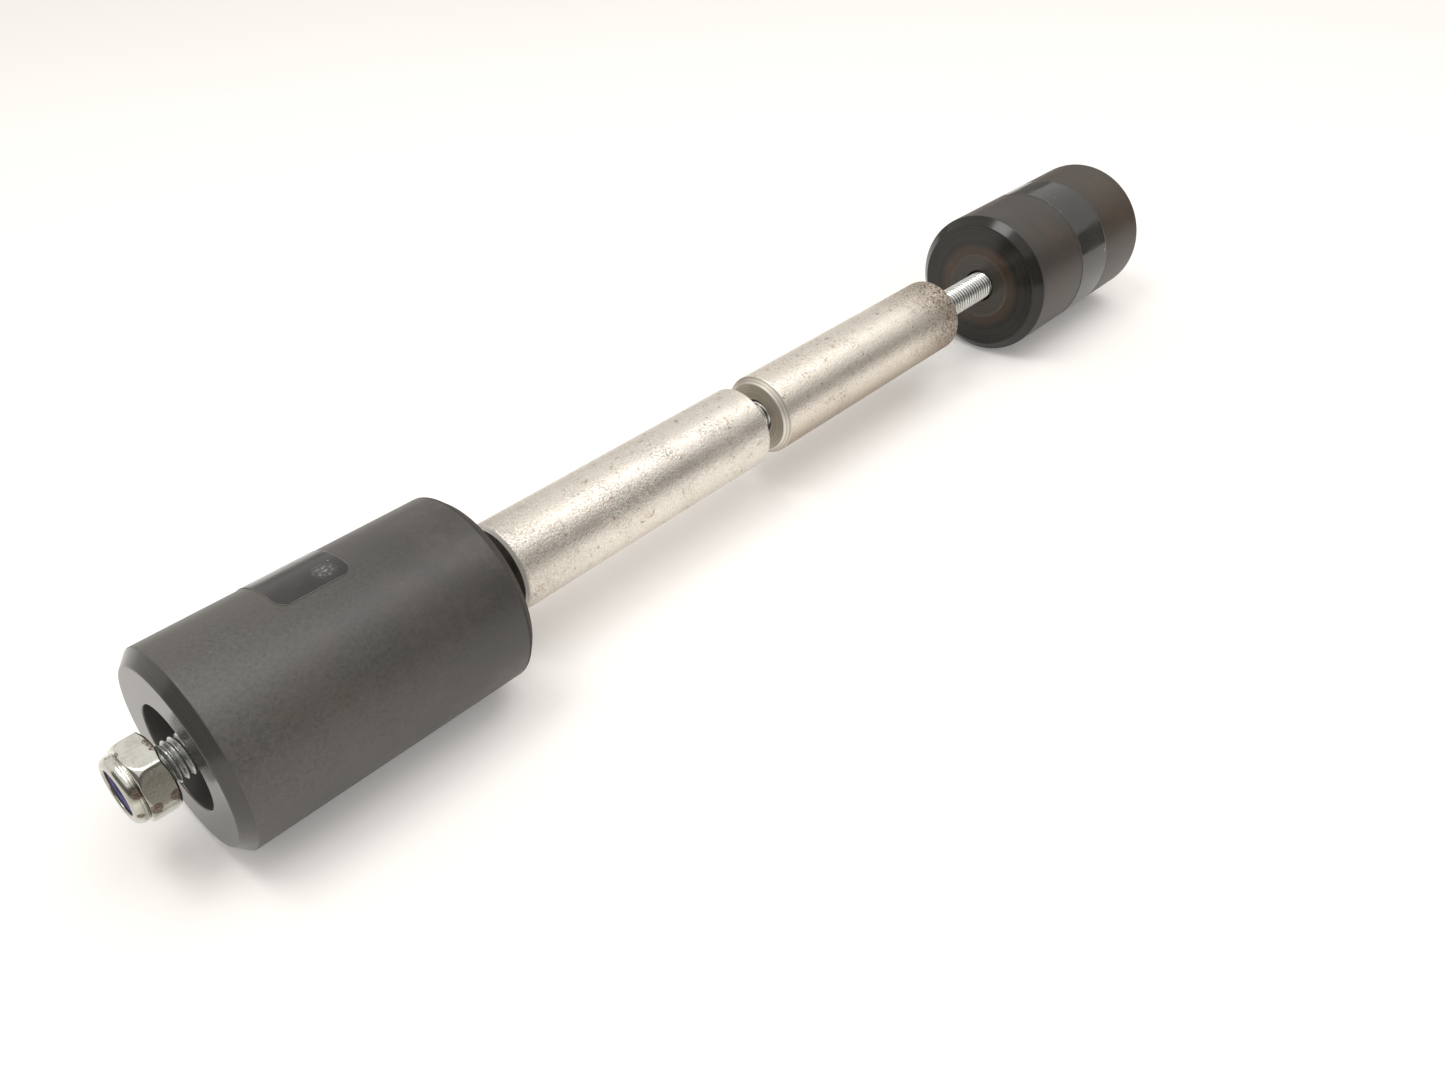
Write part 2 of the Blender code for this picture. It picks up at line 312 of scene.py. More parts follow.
# %% [markdown]
# A lock nut is a hexagon with a thin round collar that is rolled over a nylon ring. Its corners are cut by a
# shallow cone at the bearing face and by a long dome at the collar's end, and a groove parts dome and collar.
# Booleans on a cylinder would leave sharp joins. Here the radius at every height and angle is the smallest of
# hexagon, cone and dome, and then the larger of that and the collar. A soft smallest and a soft largest round
# each join by themselves.

# %% Lock nuts and their nylon rings
NUT_FLAT = 8.4 * MM
NUT_CORNER = 9.55 * MM
NUT_FACE = 8.0 * MM
NUT_HEIGHT = 9.3 * MM
DOME_START = 2.4 * MM
DOME_END = 6.6 * MM
DOME_TOP = 9.75 * MM
DOME_FOOT = 8.1 * MM
COLLAR_RADIUS = 7.9 * MM
ROLL_START = 7.5 * MM
ROLL_RADIUS = 6.3 * MM
MOUTH_RADIUS = 5.4 * MM
POCKET_RADIUS = 6.8 * MM
NUT_BORE = 5.2 * MM
LIP = 0.7 * MM
INSERT_HEIGHT = 2.2 * MM
INSERT_BORE = 5.1 * MM
INSERT_RADIUS = 6.7 * MM
INSERT_EASE = 0.45
INSERT_GAP = 0.05 * MM
CONE_RISE = 1 / np.tan(np.radians(30))


def soft_least(a, b, blend=0.07 * MM):
    """The smaller of two values, rounded where they cross: -c log(exp(-a/c) + exp(-b/c)) for a blend c."""
    return -blend * np.logaddexp(-a / blend, -b / blend)


def soft_most(a, b, blend=0.03 * MM):
    """The larger of two values, rounded where they cross."""
    return blend * np.logaddexp(a / blend, b / blend)


def hexagon_radius(angle, corner):
    """A flat's distance is constant, so the radius is that over the cosine of the angle from the flat."""
    sixth = np.pi / 3
    off_flat = np.mod(angle - corner, sixth) - sixth / 2
    return soft_least(NUT_FLAT / np.cos(off_flat), np.full_like(off_flat, NUT_CORNER))


def dome_radius(height):
    """A quarter ellipse that starts level at DOME_START, ends upright at DOME_END and then falls away."""
    over = np.clip((height - DOME_START) / (DOME_END - DOME_START), 0, 1)
    fall = np.where(height > DOME_END, (height - DOME_END) * 4, 0)
    return DOME_FOOT + (DOME_TOP - DOME_FOOT) * np.sqrt(1 - over ** 2) - fall


def notch(height, middle, depth, width):
    """A bell shaped groove: depth times exp(-t t), where t is the height off its middle over its width."""
    return depth * MM * np.exp(-((height - middle * MM) / (width * MM)) ** 2)


def collar_radius(height):
    """A band with a groove below it and a fine crimp line, then a quarter ellipse where it is rolled over."""
    over = np.clip((height - ROLL_START) / (NUT_HEIGHT - ROLL_START), 0, 1)
    band = ROLL_RADIUS + (COLLAR_RADIUS - ROLL_RADIUS) * np.sqrt(1 - over ** 2)
    return band - notch(height, 6.7, 0.32, 0.16) - notch(height, 7.4, 0.07, 0.09)


def nut_outside(height, angle, corner):
    """Radius of the nut at a height above its bearing face and an angle, as told in the text above."""
    cone = NUT_FACE + height * CONE_RISE
    body = soft_least(soft_least(hexagon_radius(angle, corner), cone), dome_radius(height))
    return soft_most(body, collar_radius(height))


def lock_nut(name, bearing_x, outward, corner_degrees, sides=216):
    """Rows up the outside, over the lip and back down the bore, each row a ring of `sides` points.

    The rows up the outside lie at heights in millimetres, closest together where the shape bends most.
    """
    low = np.linspace(0.0, 1.3, 12)
    middle = np.linspace(1.6, 5.9, 20)
    high = np.linspace(6.05, 7.5, 26)
    roll = 7.5 + 1.8 * np.sin(np.linspace(0.03, 0.5, 16) * np.pi)
    outside = np.concatenate([low, middle, high, roll]) * MM
    angle = np.arange(sides) * 2 * np.pi / sides
    skin = nut_outside(outside[:, None], angle, np.radians(corner_degrees))
    lip_low = NUT_HEIGHT - LIP
    floor = lip_low - INSERT_HEIGHT
    inside = np.array([
        (NUT_HEIGHT - 0.02 * MM, MOUTH_RADIUS + 0.45 * MM),
        (NUT_HEIGHT - 0.10 * MM, MOUTH_RADIUS + 0.16 * MM),
        (NUT_HEIGHT - 0.28 * MM, MOUTH_RADIUS),
        (lip_low + 0.08 * MM, MOUTH_RADIUS),
        (lip_low, MOUTH_RADIUS + 0.08 * MM),
        (lip_low, POCKET_RADIUS),
        (floor, POCKET_RADIUS),
        (floor, NUT_BORE),
        (0.55 * MM, NUT_BORE),
        (0.45 * MM, NUT_BORE + 0.05 * MM),
        (0.03 * MM, NUT_BORE + 0.45 * MM),
        (0.0, NUT_BORE + 0.55 * MM),
        (0.0, NUT_FACE - 0.3 * MM),
    ])
    height = np.concatenate([outside, inside[:, 0]])
    radius = np.concatenate([skin, np.repeat(inside[:, 1:], sides, axis=1)])
    points = round_axis(bearing_x + outward * height[:, None], radius, angle)
    faces = ring_faces(len(height), sides)
    if outward > 0:
        faces = faces[:, ::-1]
    return mesh_object(name, points, faces)


def nylon_ring(name, bearing_x, outward):
    """A rounded ring that fills the nut's pocket up to the lip."""
    start = bearing_x + outward * (NUT_HEIGHT - LIP - INSERT_HEIGHT + INSERT_GAP)
    stop = bearing_x + outward * (NUT_HEIGHT - LIP - INSERT_GAP)
    corners = [(start, INSERT_BORE), (start, INSERT_RADIUS), (stop, INSERT_RADIUS), (stop, INSERT_BORE)]
    return turned(name, [(x, radius, INSERT_EASE) for x, radius in corners], sides=96)


NEAR_CORNER, FAR_CORNER = 128.5, 20.0
near_bearing = ends_of("near_lock_nut")[1]
far_bearing = ends_of("far_lock_nut")[0]
near_nut = lock_nut("near_locking_nut", near_bearing, -1, NEAR_CORNER)
far_nut = lock_nut("far_locking_nut", far_bearing, 1, FAR_CORNER)
near_ring = nylon_ring("near_nylon", near_bearing, -1)
far_ring = nylon_ring("far_nylon", far_bearing, 1)
fitted(near_nut, "near_lock_nut", "near_nut")
fitted(far_nut, "far_lock_nut", "far_nut")
fitted(near_ring, "near_nut_insert", "near_insert")
fitted(far_ring, "far_nut_insert", "far_insert")

# %% [markdown]
# A flat washer lies on the floor of each counterbore. Stamped washers have one rounded edge, where the punch
# went in, and one sharper edge, so the two sides of the profile get different rounding.

# %% Washers
WASHER_RADIUS = 10 * MM


def washer(name, start_x, stop_x):
    """A flat ring, well rounded on the punch side and crisp on the other."""
    rows = [
        (start_x, HOLE_RADIUS, 0.5),
        (start_x, WASHER_RADIUS, 0.6),
        (stop_x, WASHER_RADIUS, 0.2),
        (stop_x, HOLE_RADIUS, 0.15),
    ]
    return turned(name, rows, sides=128)


near_washer = washer("near_flat_washer", *ends_of("near_washer"))
far_washer = washer("far_flat_washer", *ends_of("far_washer")[::-1])
fitted(near_washer, "near_washer", "near_floor_washer")
fitted(far_washer, "far_washer", "far_floor_washer")

# %% [markdown]
# Each bobbin wears a strip of dark glossy film with round corners, bent round the drum. A plane with
# Shrinkwrap would follow the drum too. Here the strip is a grid in arc length and width, and its rows get
# narrower near the ends, which makes the corners round. It is a closed shell, a tenth of a millimetre thick.

# %% Labels
FILM_LENGTH = 70 * MM
FILM_CORNER = 3 * MM
FILM_UNDER = BOBBIN_RADIUS + 0.02 * MM
FILM_TOP = BOBBIN_RADIUS + 0.13 * MM
FILM_RIM = 0.3 * MM
FILM_COLUMNS = np.array([-1.0, -0.7, -0.35, 0.0, 0.35, 0.7, 1.0])
NEAR_FILM_MIDDLE, FAR_FILM_MIDDLE = 18, 140


def film_rows(width):
    """Each row's place along the arc and half its width, which falls on a quarter circle at the ends."""
    straight_end = FILM_LENGTH / 2 - FILM_CORNER
    corner = straight_end + FILM_CORNER * np.sin(np.linspace(0, 0.5, 15)[1:] * np.pi)
    straight = np.linspace(-straight_end, straight_end, 91)
    along = np.concatenate([-corner[::-1], straight, corner])
    over = np.clip((np.abs(along) - straight_end) / FILM_CORNER, 0, 1)
    return along, width / 2 - FILM_CORNER * (1 - np.sqrt(1 - over ** 2))


def film_faces(rows, columns):
    """Faces between rows that each run across the top and back underneath, and a cap over either end."""
    loop = 2 * columns
    i, j = np.meshgrid(np.arange(rows - 1), np.arange(loop), indexing="ij")
    next_j = (j + 1) % loop
    corners = [i * loop + j, i * loop + next_j, (i + 1) * loop + next_j, (i + 1) * loop + j]
    k = np.arange(columns - 1)
    cap = np.stack([k, loop - 1 - k, loop - 2 - k, k + 1], axis=-1)
    last = (rows - 1) * loop + cap[:, ::-1]
    return np.concatenate([np.stack(corners, axis=-1).reshape(-1, 4), cap, last])


def film(name, node, middle_degrees):
    """Closed strip round the drum, with an attribute that is one at its rim and nought inside."""
    start_x, stop_x = ends_of(node)
    along, half = film_rows(stop_x - start_x)
    inner = FILM_COLUMNS * (half[:, None] - FILM_RIM)
    top = np.concatenate([-half[:, None], inner, half[:, None]], axis=1)
    offset = np.concatenate([top, top[:, ::-1]], axis=1)
    rows, columns = top.shape
    radius = np.repeat([FILM_TOP, FILM_UNDER], columns)
    angle = np.radians(middle_degrees) + along / BOBBIN_RADIUS
    points = round_axis((start_x + stop_x) / 2 + offset, radius, angle[:, None])
    piece = mesh_object(name, points, film_faces(rows, columns))
    edge = np.zeros(offset.shape, np.float32)
    edge[:, [0, columns - 1, columns, -1]] = 1
    edge[[0, 1, 2, -3, -2, -1], :] = 1
    piece.data.attributes.new("film_edge", "FLOAT", "POINT").data.foreach_set("value", edge.ravel())
    return piece


near_film = film("near_film", "near_label", NEAR_FILM_MIDDLE)
far_film = film("far_film", "far_label", FAR_FILM_MIDDLE)
fitted(near_film, "near_label", "near_protector")
fitted(far_film, "far_label", "far_protector")

# %% [markdown]
# Materials come next. Their patterns read Object coordinates, so they stay on a piece when it moves. The
# helpers add a node, fill its sockets with numbers or links, and start a shader node group or place one. Most
# of them find the node tree from a link.

# %% Helpers: nodes and node groups
NODE_SPACING = 190


def feed(node, sockets):
    """Fill a node's sockets: a number or a colour is set, and another node's output is linked."""
    for key, value in sockets.items():
        if isinstance(value, bpy.types.NodeSocket):
            node.id_data.links.new(value, node.inputs[key])
        else:
            node.inputs[key].default_value = value


def add(tree, kind, sockets=None, **settings):
    """Add a node beside the last one, with its settings and its sockets filled."""
    made = tree.nodes.new(kind)
    made.location = (NODE_SPACING * len(tree.nodes), 0)
    for key, value in settings.items():
        setattr(made, key, value)
    feed(made, sockets or {})
    return made


def grow(kind, sockets, **settings):
    """Add a node to the tree that its first link comes from."""
    link = next(value for value in sockets.values() if isinstance(value, bpy.types.NodeSocket))
    return add(link.id_data, kind, sockets, **settings)


def calc(operation, *values):
    """A Math node's result."""
    return grow("ShaderNodeMath", dict(enumerate(values)), operation=operation).outputs[0]


def times(a, b, plus=0.0):
    """The product of two values, with something added."""
    return calc("MULTIPLY_ADD", a, b, plus)


def apart(value, middle):
    """How far a value is from a middle, either way."""
    return calc("ABSOLUTE", calc("SUBTRACT", value, middle))


def away_from(place, centre):
    """The distance of a place from a centre, in metres."""
    return grow("ShaderNodeVectorMath", {0: place, 1: centre}, operation="DISTANCE").outputs["Value"]


def ramp(value, low, high, to_low=0.0, to_high=1.0):
    """A smooth step: to_low below low, to_high above high, and an S curve between them."""
    sockets = {0: value, 1: low, 2: high, 3: to_low, 4: to_high}
    return grow("ShaderNodeMapRange", sockets, interpolation_type="SMOOTHSTEP").outputs[0]


def noise(place, scale, detail=2.0, roughness=0.55):
    """Noise from 0 to 1; the scale counts features in a metre."""
    sockets = {"Vector": place, "Scale": scale, "Detail": detail, "Roughness": roughness}
    return grow("ShaderNodeTexNoise", sockets).outputs[0]


def blended(mask, first, second):
    """A colour that goes from first to second as the mask goes from 0 to 1."""
    return grow("ShaderNodeMix", {0: mask, 6: first, 7: second}, data_type="RGBA").outputs[2]


def overlaid(colour, mask, share, top):
    """Lay a colour over another, by a share of a mask."""
    return blended(times(mask, share), colour, top)


def bumped(height, strength, distance):
    """A normal tilted by the slope of a height; the distance in metres is what a height of one stands for."""
    sockets = {"Height": height, "Strength": strength, "Distance": distance}
    return grow("ShaderNodeBump", sockets).outputs[0]


def new_group(name, inputs, outputs):
    """A shader node group with named sockets: one named Place is a vector, and every other one a number."""
    group = bpy.data.node_groups.new(name, "ShaderNodeTree")
    for in_out, labels in (("INPUT", inputs), ("OUTPUT", outputs)):
        for label in labels:
            kind = "NodeSocketVector" if label == "Place" else "NodeSocketFloat"
            group.interface.new_socket(label, in_out=in_out, socket_type=kind)
    source = group.nodes.new("NodeGroupInput")
    target = group.nodes.new("NodeGroupOutput")
    print("group:", name)
    return group, source.outputs, target


def use(group, sockets):
    """Place a group in a material and return its outputs."""
    return grow("ShaderNodeGroup", sockets, node_tree=group).outputs


def start_finish(name):
    """A new material with its Principled shader, and the Object coordinates it reads."""
    material = bpy.data.materials.new(name)
    material.use_nodes = True
    tree = material.node_tree
    tree.nodes.clear()
    shader = add(tree, "ShaderNodeBsdfPrincipled")
    grow("ShaderNodeOutputMaterial", {"Surface": shader.outputs[0]})
    place = add(tree, "ShaderNodeTexCoord").outputs["Object"]
    return material, shader, place


def dress(material, *pieces):
    """Put a finished material on pieces."""
    for piece in pieces:
        piece.data.materials.append(material)
    print("finish:", material.name, "on", [piece.name for piece in pieces])


# %% [markdown]
# On turned work nearly everything depends on two numbers: how far a point is from the axis, and how far along
# it. This group gives both in millimetres, so a material can speak of a ring at 11.4 mm or the last 20 mm.

# %% Node group: distance from the axis and along it
axis_group, given, wanted = new_group("rod_axis", ["Place"], ["Radius", "Along"])
axis_place = (0, AXIS_Y, AXIS_Z)
per_metre = (1 / MM, 1 / MM, 1 / MM)
off_axis = grow("ShaderNodeVectorMath", {0: given["Place"], 1: axis_place}, operation="SUBTRACT")
in_mm = grow("ShaderNodeVectorMath", {0: off_axis.outputs[0], 1: per_metre}, operation="MULTIPLY")
along, across, up = grow("ShaderNodeSeparateXYZ", {0: in_mm.outputs[0]}).outputs
square = times(up, up, times(across, across))
feed(wanted, {"Radius": calc("SQRT", square), "Along": along})

# %% [markdown]
# A lathe tool leaves fine rings, a few in each millimetre, and no two are equally deep. A Wave texture has
# only one depth, so this group feeds noise with a stretched place: radius and length are kept, the angle is
# left out, and the noise becomes rings of uneven depth on faces, chamfers and drums alike.

# %% Node group: lathe rings
ring_group, given, wanted = new_group("lathe_rings", ["Radius", "Along", "Per mm"], ["Rings"])
ring_place = grow("ShaderNodeCombineXYZ", {0: given["Radius"], 1: given["Along"], 2: 0.0})
ring_noise = noise(ring_place.outputs[0], given["Per mm"], 2.0, 0.6)
feed(wanted, {"Rings": ramp(ring_noise, 0.25, 0.75)})


def lathe_rings(axis, per_mm):
    """Uneven rings from 0 to 1, so many to the millimetre."""
    sockets = {"Radius": axis["Radius"], "Along": axis["Along"], "Per mm": per_mm}
    return use(ring_group, sockets)["Rings"]


# %% [markdown]
# Speckle is what makes the plastic look like plastic and the bare aluminium look old. It is noise of which
# only values above a line show, so the spots are separate and uneven, as grains and pits are.

# %% Node group: speckle
speckle_group, given, wanted = new_group("speckle", ["Place", "Per metre", "Above", "Soft"], ["Spots"])
speckle_noise = noise(given["Place"], given["Per metre"], 3.0, 0.6)
speckle_top = calc("ADD", given["Above"], given["Soft"])
feed(wanted, {"Spots": ramp(speckle_noise, given["Above"], speckle_top)})


def speckle(place, per_metre, above, soft=0.1):
    """Spots from noise: nothing below `above`, full strength from `above` plus `soft`."""
    sockets = {"Place": place, "Per metre": per_metre, "Above": above, "Soft": soft}
    return use(speckle_group, sockets)["Spots"]


# %% [markdown]
# Dirt and tarnish lie in clouds with ragged edges. Two noises at different sizes are multiplied, so a cloud
# is broken up by smaller clouds inside it.

# %% Node group: cloudy stains
stain_group, given, wanted = new_group("cloudy_stains", ["Place", "Per metre", "Above"], ["Stain"])
stain_wide = noise(given["Place"], given["Per metre"], 4.0, 0.65)
stain_scale = times(given["Per metre"], 9.0)
stain_fine = noise(given["Place"], stain_scale, 3.0, 0.6)
stain_top = calc("ADD", given["Above"], 0.22)
stain_cloud = ramp(stain_wide, given["Above"], stain_top)
stain_break = ramp(stain_fine, 0.3, 0.7, 0.35, 1.0)
feed(wanted, {"Stain": times(stain_cloud, stain_break)})


def stains(place, per_metre, above):
    """Ragged clouds from 0 to 1; a lower `above` lets more of them show."""
    return use(stain_group, {"Place": place, "Per metre": per_metre, "Above": above})["Stain"]


# %% [markdown]
# The bobbins are black plastic gone grey-brown with use. The drum is dull and peppered with fine dark and
# pale grains, while the faced ends and chamfers are smoother and show rings. The radius tells the two apart:
# from 24.9 mm it is the drum. The drum is darker towards its inner end and underneath, as painted shade, and
# the far bobbin's tones are browner and also darker, which is painted shade. The counterbore's wall is a
# lighter grey, which is painted light. The inner face has a pale line round the spacer's seat, which is a
# painted edge highlight, and a brownish ring, and the near bobbin's inner rim is darker and duller.

# %% Bobbin plastic
INNER_END_SHADE_BLACK = (0.040, 0.037, 0.034, 1)
UNDERSIDE_SHADE_BLACK = (0.022, 0.020, 0.018, 1)
DARK_GRAIN = (0.025, 0.022, 0.020, 1)
PALE_GRAIN = (0.26, 0.25, 0.23, 1)
BORE_PAINTED_LIGHT = (0.20, 0.19, 0.185, 1)
SEAT_TONES = ((0.030, 0.026, 0.022, 1), (0.085, 0.075, 0.062, 1))
RUBBED_BROWN = (0.105, 0.056, 0.030, 1)
SEAT_EDGE_HIGHLIGHT = (0.20, 0.175, 0.15, 1)
INNER_RIM_DARK = (0.045, 0.034, 0.026, 1)


def drum_colour(place, along, outer_x, inner_x, base, haze, haze_colour):
    """The drum's base tone with its wear.

    It darkens towards inner_x and underneath, which is painted shade. Haze and grains lie on top.
    """
    dark = speckle(place, 1500.0, 0.58)
    pale = speckle(place, 800.0, 0.67)
    # Painted shade: the drum is darker towards its inner end and underneath.
    painted_end_shade = ramp(along, outer_x / MM, inner_x / MM, 0.0, 0.75)
    colour = blended(painted_end_shade, base, INNER_END_SHADE_BLACK)
    level = grow("ShaderNodeSeparateXYZ", {0: place}).outputs[2]
    under = ramp(level, AXIS_Z - 20 * MM, AXIS_Z + 2 * MM, 0.75, 0.0)
    colour = blended(under, colour, UNDERSIDE_SHADE_BLACK)
    colour = overlaid(colour, haze, 0.7, haze_colour)
    colour = overlaid(colour, dark, 0.38, DARK_GRAIN)
    return overlaid(colour, pale, 0.20, PALE_GRAIN)


def seat_face(colour, radius, rings, haze, inner_face):
    """The inner face's marks: a dark seat, a brown ring rubbed round it, a painted highlight at its edge."""
    off_seat = calc("SUBTRACT", radius, SEAT_RADIUS / MM)
    seat = ramp(off_seat, -0.4, 0.0, 0.85, 0.0)
    colour = overlaid(colour, inner_face, seat, blended(rings, *SEAT_TONES))
    rubbed = times(inner_face, ramp(apart(off_seat, 1.4), 0.4, 3.2, 0.9, 0.0))
    colour = overlaid(colour, rubbed, times(haze, 0.6, 0.4), RUBBED_BROWN)
    # Painted highlight: a pale line along the seat's edge.
    painted_seat_highlight = ramp(calc("ABSOLUTE", off_seat), 0.1, 0.4, 0.65, 0.0)
    painted_seat_highlight = times(painted_seat_highlight, times(haze, 0.55, 0.45))
    return overlaid(colour, inner_face, painted_seat_highlight, SEAT_EDGE_HIGHLIGHT)


def bobbin_plastic(name, outer_x, inner_x, tones, index, rim_darkening):
    """Dark drum with grains and brown haze, smooth faced ends, and a scuffed seat on the face at inner_x.

    The tones are the drum's two, the haze's and the faced ends' two. The index of refraction sets how
    strongly the plastic mirrors the room, and rim_darkening how dark and dull the inner chamfer is.
    """
    deep, light, haze_colour, faced_deep, faced_light = tones
    material, shader, place = start_finish(name)
    axis = use(axis_group, {"Place": place})
    radius, along = axis["Radius"], axis["Along"]
    mottle = speckle(place, 1100.0, 0.28, 0.44)
    haze = stains(place, 45.0, 0.42)
    rings = lathe_rings(axis, 2.2)
    drum = ramp(radius, 24.75, 24.95)
    base = blended(mottle, deep, light)
    worn = drum_colour(place, along, outer_x, inner_x, base, haze, haze_colour)
    off_face = apart(along, inner_x / MM)
    inner_face = ramp(off_face, 0.5, 1.0, 1.0, 0.0)
    # Painted light: the counterbore's wall is a lighter grey than the faced ends.
    painted_bore_light = calc("SUBTRACT", ramp(radius, 12.9, 13.15, 1.0, 0.0), inner_face)
    faced = blended(rings, faced_deep, faced_light)
    faced = blended(calc("MAXIMUM", painted_bore_light, 0.0), faced, BORE_PAINTED_LIGHT)
    faced = seat_face(faced, radius, rings, haze, inner_face)
    inner_rim = times(ramp(radius, 22.4, 22.9), ramp(off_face, 2.5, 2.9, rim_darkening, 0.0))
    faced = blended(inner_rim, faced, INNER_RIM_DARK)
    dull = times(mottle, 0.06, 0.18)
    dull = times(drum, dull, 0.19)
    dull = times(inner_rim, 0.6, dull)
    off_drum = calc("SUBTRACT", 1.0, drum)
    height = times(rings, times(off_drum, 0.3))
    height = times(mottle, times(drum, 0.6), height)
    feed(shader, {
        "Base Color": blended(drum, faced, worn),
        "Roughness": dull,
        "Normal": bumped(height, 0.25, 0.03 * MM),
        "IOR": index,
    })
    return material


NEAR_TONES = ((0.074, 0.070, 0.066, 1), (0.103, 0.097, 0.090, 1), (0.092, 0.077, 0.064, 1),
              (0.042, 0.039, 0.035, 1), (0.055, 0.051, 0.045, 1))
# The far tones are browner, the plastic's own colour, and darker, which is painted shade.
FAR_TONES = ((0.035, 0.027, 0.019, 1), (0.056, 0.043, 0.029, 1), (0.074, 0.048, 0.028, 1),
             (0.013, 0.012, 0.010, 1), (0.023, 0.021, 0.016, 1))
dress(bobbin_plastic("worn_black_plastic", near_outer, near_inner, NEAR_TONES, 1.52, 1.0), near_bobbin)
dress(bobbin_plastic("browned_shaded_black_plastic", far_outer, far_inner, FAR_TONES, 1.44, 0.0), far_bobbin)

# %% [markdown]
# The spacers are bare aluminium that has weathered: a pale satin with a fine grain, brown flecks, dark pits
# in swarms that break the highlight, and brown tarnish that is worst at one end. The end face at that end is
# painted near black, which is painted shade from the bobbin beside it. The chamfers were turned bright and
# have stayed cleaner, and the other end faces are grey-brown with fine rings. Pits are darker and a little
# sunk, so one mask feeds both colour and bump.

# %% Spacer aluminium
TARNISH = (0.58, 0.51, 0.435, 1)
SPOT_BROWN = (0.38, 0.27, 0.17, 1)
FLECK_BROWN = (0.34, 0.23, 0.14, 1)
UNDER_BROWN = (0.36, 0.295, 0.22, 1)
END_BROWN = (0.24, 0.175, 0.12, 1)
PIT_TONES = ((0.27, 0.215, 0.16, 1), (0.085, 0.055, 0.036, 1))
CUT_STAIN = (0.42, 0.34, 0.27, 1)
FACED_TONES = ((0.62, 0.57, 0.49, 1), (0.36, 0.32, 0.26, 1))
BACK_BROWN = (0.22, 0.16, 0.115, 1)
END_FACE_SHADE = (0.030, 0.027, 0.022, 1)
GRAIN_SHADE = (0.84, 0.80, 0.75, 1)


def spacer_aluminium(name, worst_x, tint, brown_reach, brown_share, pits_per_metre, under_share, cut_tones):
    """Pale metal with pits, tarnish clouds and turned ends.

    It browns by brown_share at worst_x, and less with distance, down to nothing at brown_reach millimetres.
    Its underside browns by under_share, and so do its chamfers at the back. The chamfers go between the two
    cut_tones from ring to ring.
    """
    material, shader, place = start_finish(name)
    axis = use(axis_group, {"Place": place})
    grain = speckle(place, 1800.0, 0.30, 0.40)
    pits = speckle(place, pits_per_metre, 0.51, 0.12)
    flecks = speckle(place, 420.0, 0.62)
    swarm = stains(place, 70.0, 0.46)
    clouds = stains(place, 50.0, 0.52)
    spots = stains(place, 210.0, 0.57)
    rings = lathe_rings(axis, 1.7)
    side = ramp(axis["Radius"], 12.25, 12.38)
    end_face = ramp(axis["Radius"], 10.45, 10.62, 1.0, 0.0)
    off_worst = apart(axis["Along"], worst_x / MM)
    reach = ramp(off_worst, 0.0, brown_reach, brown_share, 0.0)
    level = grow("ShaderNodeSeparateXYZ", {0: place}).outputs
    under = ramp(level[2], AXIS_Z - 8 * MM, AXIS_Z + 5 * MM, under_share, 0.0)
    behind = ramp(level[1], AXIS_Y - 3 * MM, AXIS_Y + 8 * MM, 0.0, under_share)

    shaded = tuple(shade * part for shade, part in zip(GRAIN_SHADE, tint))
    colour = blended(grain, shaded, tint)
    colour = overlaid(colour, clouds, 0.5, TARNISH)
    colour = overlaid(colour, spots, 0.7, SPOT_BROWN)
    colour = overlaid(colour, flecks, 0.75, FLECK_BROWN)
    colour = blended(under, colour, UNDER_BROWN)
    colour = overlaid(colour, reach, times(grain, -0.6, 1.0), END_BROWN)
    crowd = times(swarm, 0.50, 0.07)
    crowd = times(reach, 0.9, crowd)
    pitted = times(pits, crowd)
    colour = blended(pitted, colour, blended(reach, *PIT_TONES))

    cut = overlaid(blended(rings, *cut_tones), clouds, 0.8, CUT_STAIN)
    ends = blended(end_face, cut, blended(rings, *FACED_TONES))
    ends = overlaid(ends, behind, times(swarm, 0.4, 0.5), BACK_BROWN)
    # Painted shade: the end face beside the bobbin is near black.
    ends = blended(ramp(off_worst, 0.04, 0.16, 0.95, 0.0), ends, END_FACE_SHADE)

    metal = times(end_face, -0.10, 0.65)
    dull = times(times(grain, side), -0.12, 0.38)
    height = times(times(pitted, -4.0, grain), side)
    height = times(rings, 0.20, height)
    feed(shader, {
        "Base Color": blended(side, ends, colour),
        "Metallic": times(side, 0.27, metal),
        "Roughness": times(reach, 0.20, dull),
        "Normal": bumped(height, 0.9, 0.045 * MM),
    })
    return material


BRIGHT, TARNISHED = (0.84, 0.805, 0.75, 1), (0.88, 0.835, 0.77, 1)
BRIGHT_CUT = ((0.92, 0.90, 0.86, 1), (0.66, 0.63, 0.58, 1))
DULL_CUT = ((0.82, 0.78, 0.71, 1), (0.42, 0.38, 0.32, 1))
near_metal = spacer_aluminium("weathered_aluminium", near_start, BRIGHT, 25.0, 0.22, 1700.0, 0.0, BRIGHT_CUT)
far_metal = spacer_aluminium("tarnished_aluminium", far_stop, TARNISHED, 32.0, 0.90, 1250.0, 1.0, DULL_CUT)
dress(near_metal, near_spacer)
dress(far_metal, far_spacer)

# %% [markdown]
# Bright zinc covers the studding, nuts and washers. The crests of the thread are polished by handling, and
# the roots hold grey dirt, so the radius mixes the two. From the near end towards the middle the roots
# go near black, which is painted shade between the flanks. The nuts have a greener cast. They rust where
# the plating was knocked off: a few centres are listed in the nut's own frame, and near a centre the stain's
# threshold sinks, so each patch keeps a ragged edge. Round some of them lies a wider, darker patch.

